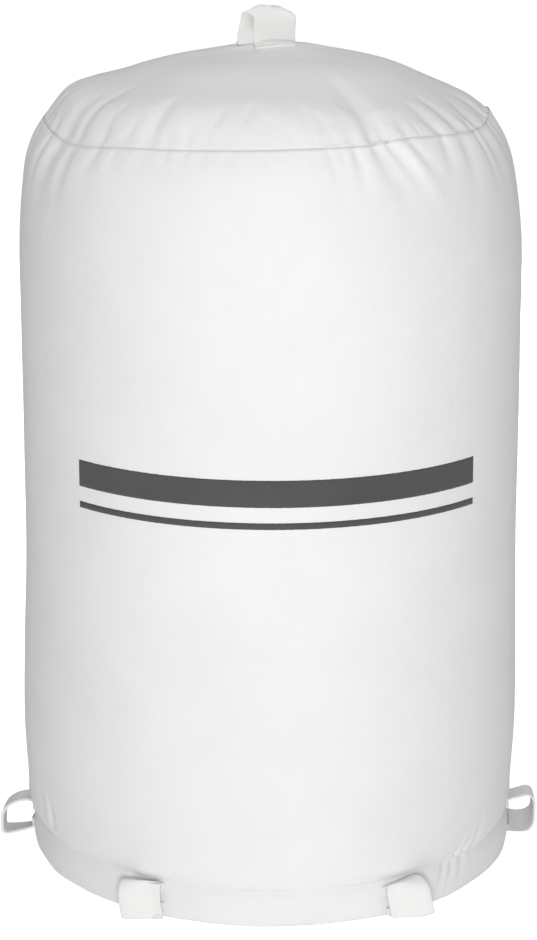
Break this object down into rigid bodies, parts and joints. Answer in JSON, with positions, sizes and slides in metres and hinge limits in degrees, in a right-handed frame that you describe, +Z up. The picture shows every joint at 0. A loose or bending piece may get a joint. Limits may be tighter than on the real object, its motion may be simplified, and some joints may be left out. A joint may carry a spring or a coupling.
{
  "type": "dust collector filter bag",
  "caption": "Upper filter bag of a dust collector: felt tube with a domed crown, hemmed open mouth, hanging loop on top and belt loops round the hem.",
  "frame": {"origin": "centre of the mouth plane, at the bottom edge of the hem", "axes": "+Z up the bag towards the crown, -Y towards the front, +X to the right seen from the front"},
  "size_m": [0.564, 0.5085, 0.877],
  "materials": {
    "felt": "matte",
    "strap": "matte",
    "thread": "matte"
  },
  "bodies": {
    "bag": {"side_panel": "felt", "crown_panel": "felt", "crown_seam_stitching": "thread", "hem_stitching": "thread", "side_seam_stitching": "thread", "hanging_loop_feet": "strap", "hanging_loop_stitching": "thread", "belt_loop_front_left_feet": "strap", "belt_loop_front_left_stitching": "thread", "belt_loop_left_feet": "strap", "belt_loop_left_stitching": "thread", "belt_loop_rear_left_feet": "strap", "belt_loop_rear_left_stitching": "thread", "belt_loop_rear_right_feet": "strap", "belt_loop_rear_right_stitching": "thread", "belt_loop_right_feet": "strap", "belt_loop_right_stitching": "thread", "belt_loop_front_right_feet": "strap", "belt_loop_front_right_stitching": "thread"},
    "hanging_loop": {"hanging_loop": "strap"},
    "belt_loop_front_left": {"belt_loop_front_left": "strap"},
    "belt_loop_left": {"belt_loop_left": "strap"},
    "belt_loop_rear_left": {"belt_loop_rear_left": "strap"},
    "belt_loop_rear_right": {"belt_loop_rear_right": "strap"},
    "belt_loop_right": {"belt_loop_right": "strap"},
    "belt_loop_front_right": {"belt_loop_front_right": "strap"}
  },
  "joints": [
    {"name": "hanging_loop_flop", "type": "hinge", "parent": "bag", "child": "hanging_loop", "pos_m": [0, 0, 0.8425], "axis": [1, 0, 0], "range_deg": [-60, 60], "stiffness_Nm_per_rad": 0.02},
    {"name": "belt_loop_front_left_tilt", "type": "hinge", "parent": "bag", "child": "belt_loop_front_left", "pos_m": [-0.125, -0.21651, 0.022], "axis": [-0.866, 0.5, 0], "range_deg": [-15, 15], "stiffness_Nm_per_rad": 0.05},
    {"name": "belt_loop_left_tilt", "type": "hinge", "parent": "bag", "child": "belt_loop_left", "pos_m": [-0.25, 0, 0.022], "axis": [0, 1, 0], "range_deg": [-15, 15], "stiffness_Nm_per_rad": 0.05},
    {"name": "belt_loop_rear_left_tilt", "type": "hinge", "parent": "bag", "child": "belt_loop_rear_left", "pos_m": [-0.125, 0.21651, 0.022], "axis": [0.866, 0.5, 0], "range_deg": [-15, 15], "stiffness_Nm_per_rad": 0.05},
    {"name": "belt_loop_rear_right_tilt", "type": "hinge", "parent": "bag", "child": "belt_loop_rear_right", "pos_m": [0.125, 0.21651, 0.022], "axis": [0.866, -0.5, 0], "range_deg": [-15, 15], "stiffness_Nm_per_rad": 0.05},
    {"name": "belt_loop_right_tilt", "type": "hinge", "parent": "bag", "child": "belt_loop_right", "pos_m": [0.25, 0, 0.022], "axis": [0, -1, 0], "range_deg": [-15, 15], "stiffness_Nm_per_rad": 0.05},
    {"name": "belt_loop_front_right_tilt", "type": "hinge", "parent": "bag", "child": "belt_loop_front_right", "pos_m": [0.125, -0.21651, 0.022], "axis": [-0.866, -0.5, 0], "range_deg": [-15, 15], "stiffness_Nm_per_rad": 0.05}
  ]
}
